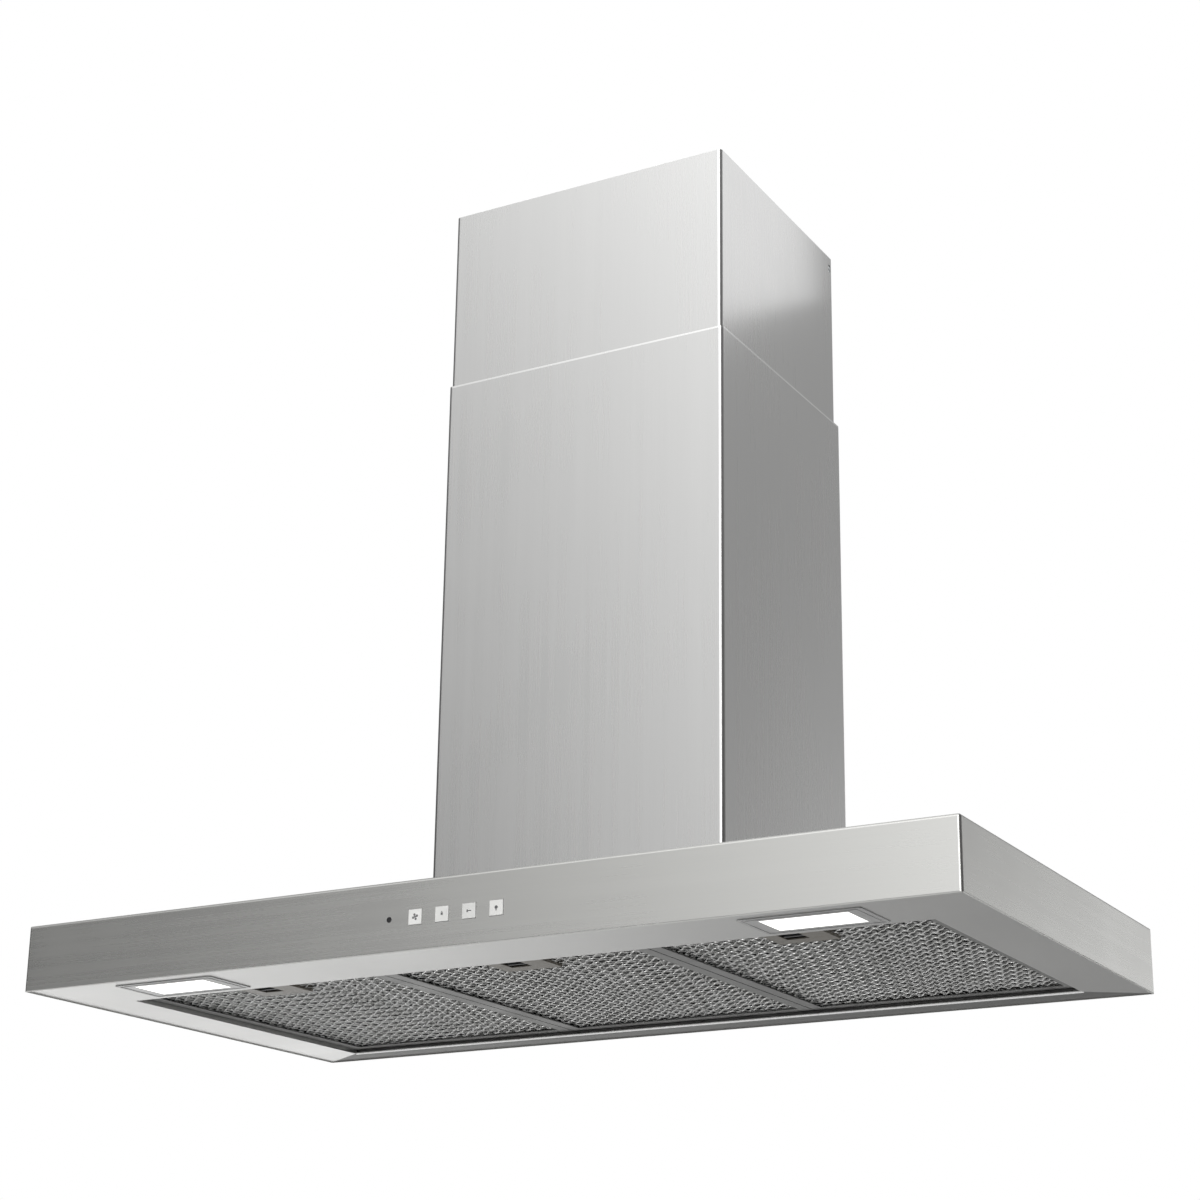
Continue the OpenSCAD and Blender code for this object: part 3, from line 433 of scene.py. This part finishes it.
def ribbon(points, widths, tilts):
    """Rings of a flat strand that follows points, with a width and a tilt about its own line at each."""
    rings = []
    for k, (p, width, tilt) in enumerate(zip(points, widths, tilts)):
        ahead = points[min(k + 1, len(points) - 1)] - points[max(k - 1, 0)]
        ahead.normalize()
        side = Vector((0, 0, 1)).cross(ahead).normalized()
        turn = Matrix.Rotation(tilt, 3, ahead)
        u = turn @ side * (width / 2)
        v = turn @ ahead.cross(side) * (STRAND_T / 2)
        rings.append([p + u + v, p - u + v, p - u - v, p + u - v])
    return rings


def bumps(x, y):
    """Height of the pressed mesh from 0 to 1, in rows along X that are staggered by half a pitch."""
    return 0.5 + 0.5 * math.cos(2 * math.pi * x / BUMP_X) * math.cos(math.pi * y / BUMP_Y)


def strand_runs(window, y0, phase, z0, bump_height, samples):
    """Points of one zigzag strand along X, broken where it would leave the window or cross its hole."""
    low, high, hole = window
    step = 2 * COLUMN / samples
    count = int((high.x - low.x) / step)
    runs, run = [], []
    for k in range(count + 1):
        x = low.x + k * (high.x - low.x) / count
        y = y0 + STRAND_SWING * math.cos(math.pi * x / COLUMN + phase)
        z = z0 + bump_height * bumps(x, y)
        inside = hole[0].x < x < hole[1].x and hole[0].y < y < hole[1].y
        if inside or not low.y < y < high.y:
            if len(run) > 1:
                runs.append(run)
            run = []
        else:
            run.append(Vector((x, y, z)))
    if len(run) > 1:
        runs.append(run)
    return runs


def expanded_layer(bm, window, up, bump_height, samples, shift, tilt):
    """One sheet of expanded mesh, up above the window's low face."""
    low, high, _ = window
    rows = int((high.y - low.y) / STRAND_GAP) + 1
    for j in range(rows + 1):
        phase = math.pi * j
        y0 = low.y + (j + shift) * STRAND_GAP
        for run in strand_runs(window, y0, phase, low.z + up, bump_height, samples):
            turns = [math.pi * p.x / COLUMN + phase for p in run]
            widths = [STRAND_W + (BOND_W - STRAND_W) * abs(math.cos(t)) ** 3 for t in turns]
            tilts = [tilt + STRAND_TWIST * math.sin(t) for t in turns]
            loft(bm, ribbon(run, widths, tilts))


def pleated_strip(bm, x0, x1, y0, y1, z_top, folds):
    """A thin sheet from (x0, y0) to (x1, y1), folded up and down along X."""
    rings = []
    for k in range(folds + 1):
        x = x0 + k * (x1 - x0) / folds
        z = z_top - (PLEAT_H if k % 2 else 0.0)
        rings.append([Vector((x, y0, z)), Vector((x, y1, z)),
                      Vector((x, y1, z - PLEAT_T)), Vector((x, y0, z - PLEAT_T))])
    loft(bm, rings)


def pleated_sheet(bm, window):
    """The sheet at the back, in strips in front of, behind and on both sides of the latch cup's hole."""
    low, high, hole = window
    count = int((high.x - low.x) / (PLEAT / 2))
    strips = [(low.x, high.x, low.y, hole[0].y), (low.x, high.x, hole[1].y, high.y),
              (low.x, hole[0].x, hole[0].y, hole[1].y), (hole[1].x, high.x, hole[0].y, hole[1].y)]
    for x0, x1, y0, y1 in strips:
        if y1 - y0 > 1 * MM:
            folds = max(1, round(count * (x1 - x0) / (high.x - low.x)))
            pleated_strip(bm, x0, x1, y0, y1, high.z - PLEAT_DOWN, folds)


def filter_window(i):
    """Low and high corners of the mesh seen through filter i, and of the latch cup's hole in it."""
    low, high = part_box(f"filter_mesh_{i}")
    cup_low, cup_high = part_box(f"latch_cup_{i}")
    around = Vector((CUP_GAP, CUP_GAP, 0))
    return low, high, (cup_low - around, cup_high + around)


def filter_mesh(i, materials):
    """Two visible layers of expanded aluminium. A pleated sheet behind them stands for the layers deeper in, in
    a darker copy of the aluminium that is painted shade.
    """
    window = filter_window(i)

    def front(bm):
        expanded_layer(bm, window, **FRONT_LAYER)

    def middle(bm):
        expanded_layer(bm, window, **MIDDLE_LAYER)

    def back(bm):
        pleated_sheet(bm, window)

    front_piece = piece(f"mesh_front_{i}", front, materials["filter_mesh"], f"filter_{i}")
    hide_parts(f"filter_mesh_{i}")
    piece(f"mesh_middle_{i}", middle, materials["filter_mesh"], f"filter_{i}")
    # the back sheet takes the darker aluminium, painted shade for the deeper layers
    piece(f"mesh_back_{i}", back, materials["mesh_inner_painted_shade"], f"filter_{i}")


def raised(bm, outline, y):
    """A flat mark with the outline (x, z), standing proud of the plane at y, towards -Y."""
    loft(bm, [[Vector((x, y + MARK_SUNK, z)) for x, z in outline],
              [Vector((x, y - MARK_PROUD, z)) for x, z in outline]])


def arc(cx, cz, r, start, stop, count):
    """Points of an arc from start to stop, in degrees."""
    return [(cx + r * math.cos(math.radians(start + (stop - start) * k / count)),
             cz + r * math.sin(math.radians(start + (stop - start) * k / count))) for k in range(count + 1)]


def fan_mark(cx, cz, s):
    """Four fan blades round a hub."""
    shapes = [arc(cx, cz, 0.16 * s, 0, 345, 23)]
    for a in (20, 110, 200, 290):
        bx, bz = cx + 0.30 * s * math.cos(math.radians(a)), cz + 0.30 * s * math.sin(math.radians(a))
        shapes.append(arc(bx, bz, 0.17 * s, a - 150, a + 120, 14))
    return shapes


def speed_mark(cx, cz, s):
    """A small square with a pointer above it."""
    h = 0.16 * s
    square = [(cx - h, cz - h), (cx + h, cz - h), (cx + h, cz + h), (cx - h, cz + h)]
    pointer = [(cx - 0.8 * h, cz + 1.35 * h), (cx + 0.8 * h, cz + 1.35 * h), (cx, cz + 2.4 * h)]
    return [square, pointer]


def timer_mark(cx, cz, s):
    """A bar with a post at its left end."""
    h = 0.06 * s
    bar = [(cx - 0.16 * s, cz - h), (cx + 0.36 * s, cz - h), (cx + 0.36 * s, cz + h), (cx - 0.16 * s, cz + h)]
    x0, x1, z1 = cx - 0.34 * s, cx - 0.16 * s, 0.18 * s
    post = [(x0, cz - z1), (x1, cz - z1), (x1, cz + z1), (x0, cz + z1)]
    return [bar, post]


def lamp_mark(cx, cz, s):
    """A bulb: a round glass and its cap."""
    h = 0.10 * s
    cap = [(cx - h, cz - 0.38 * s), (cx + h, cz - 0.38 * s), (cx + h, cz - 0.26 * s), (cx - h, cz - 0.26 * s)]
    return [arc(cx, cz + 0.04 * s, 0.24 * s, 0, 345, 23), cap]


def button_marks(materials):
    for i, shapes_of in enumerate((fan_mark, speed_mark, timer_mark, lamp_mark), 1):
        low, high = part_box(f"button_{i}")
        middle = (low + high) / 2
        size = (high.x - low.x - 2 * BUTTON_FLANGE) * MARK_SHARE

        def build(bm):
            for outline in shapes_of(middle.x, middle.z, size):
                raised(bm, outline, low.y)

        piece(f"button_mark_{i}", build, materials["button_ink"], f"button_{i}")


# ---- Studio ----

def build_floor():
    bm = bmesh.new()
    bmesh.ops.create_grid(bm, x_segments=8, y_segments=8, size=FLOOR_HALF)
    bmesh.ops.translate(bm, verts=bm.verts, vec=(0, 0, FLOOR_Z))
    mesh = bpy.data.meshes.new("floor")
    bm.to_mesh(mesh)
    bm.free()
    mesh.materials.append(floor_material())
    floor = bpy.data.objects.new("floor", mesh)
    bpy.context.scene.collection.objects.link(floor)


def build_world():
    """White to the camera. Reflections see a dim room lit by wide glows."""
    world = bpy.data.worlds.new("studio")
    bpy.context.scene.world = world
    world.use_nodes = True
    tree = world.node_tree
    nodes, links = tree.nodes, tree.links
    nodes.clear()

    def math_node(operation, *values):
        node = nodes.new("ShaderNodeMath")
        node.operation = operation
        for socket, value in zip(node.inputs, values):
            if isinstance(value, bpy.types.NodeSocket):
                links.new(value, socket)
            else:
                socket.default_value = value
        return node.outputs[0]

    direction = nodes.new("ShaderNodeTexCoord").outputs["Generated"]
    total = ROOM_GLOW
    for azimuth, elevation, sharpness, radiance in GLOWS:
        dot = nodes.new("ShaderNodeVectorMath")
        dot.operation = "DOT_PRODUCT"
        links.new(direction, dot.inputs[0])
        dot.inputs[1].default_value = toward(azimuth, elevation)
        away = math_node("SUBTRACT", dot.outputs["Value"], 1.0)
        glow = math_node("EXPONENT", math_node("MULTIPLY", away, sharpness))
        total = math_node("ADD", total, math_node("MULTIPLY", glow, radiance))
    room = nodes.new("ShaderNodeBackground")
    links.new(total, room.inputs["Strength"])
    room.inputs["Color"].default_value = (1.0, 1.0, 0.99, 1)
    white = nodes.new("ShaderNodeBackground")
    white.inputs["Color"].default_value = (1, 1, 1, 1)
    choose = nodes.new("ShaderNodeMixShader")
    links.new(nodes.new("ShaderNodeLightPath").outputs["Is Camera Ray"], choose.inputs[0])
    links.new(room.outputs[0], choose.inputs[1])
    links.new(white.outputs[0], choose.inputs[2])
    links.new(choose.outputs[0], nodes.new("ShaderNodeOutputWorld").inputs["Surface"])


def toward(azimuth, elevation):
    """Unit vector. Azimuth 0 is +Y, the wall side, 90 is -X, 180 is the front, 270 is +X."""
    a, e = math.radians(azimuth), math.radians(elevation)
    return Vector((-math.sin(a) * math.cos(e), math.cos(a) * math.cos(e), math.sin(e)))


def softbox(name, at, aim, width, height, radiance):
    """A rectangular area light of even radiance, not seen by the camera."""
    data = bpy.data.lights.new(name, "AREA")
    data.shape = "RECTANGLE"
    data.size, data.size_y = width, height
    data.energy = radiance * math.pi * width * height
    light = bpy.data.objects.new(name, data)
    light.location = at
    light.rotation_euler = (Vector(aim) - Vector(at)).to_track_quat("-Z", "Y").to_euler()
    light.visible_camera = False
    bpy.context.scene.collection.objects.link(light)


def build_camera():
    yaw, pitch = CAMERA_YAW, CAMERA_PITCH
    forward = Vector((-math.sin(yaw) * math.cos(pitch), math.cos(yaw) * math.cos(pitch), math.sin(pitch)))
    level = Vector((math.cos(yaw), math.sin(yaw), 0))
    upward = level.cross(forward)
    right = math.cos(CAMERA_ROLL) * level + math.sin(CAMERA_ROLL) * upward
    up = math.cos(CAMERA_ROLL) * upward - math.sin(CAMERA_ROLL) * level
    data = bpy.data.cameras.new("camera")
    data.sensor_width = 36
    data.lens = CAMERA_LENS
    data.shift_x, data.shift_y = CAMERA_SHIFT
    camera = bpy.data.objects.new("camera", data)
    camera.matrix_world = Matrix.Translation(CAMERA_AT) @ Matrix((right, up, -forward)).transposed().to_4x4()
    bpy.context.scene.collection.objects.link(camera)
    bpy.context.scene.camera = camera


def build_studio():
    scene = bpy.context.scene
    scene.view_settings.view_transform = "Standard"
    build_floor()
    build_world()
    softbox("wall_glow", (0.36, 0.30, 1.05), (0.36, -1.0, 1.05), 0.3, 0.5, 0.66)
    build_camera()


def main():
    materials = slot_materials()
    paint_cad_nodes(materials)
    soften_edges()
    for i in (1, 2, 3):
        filter_mesh(i, materials)
    button_marks(materials)
    build_studio()


main()
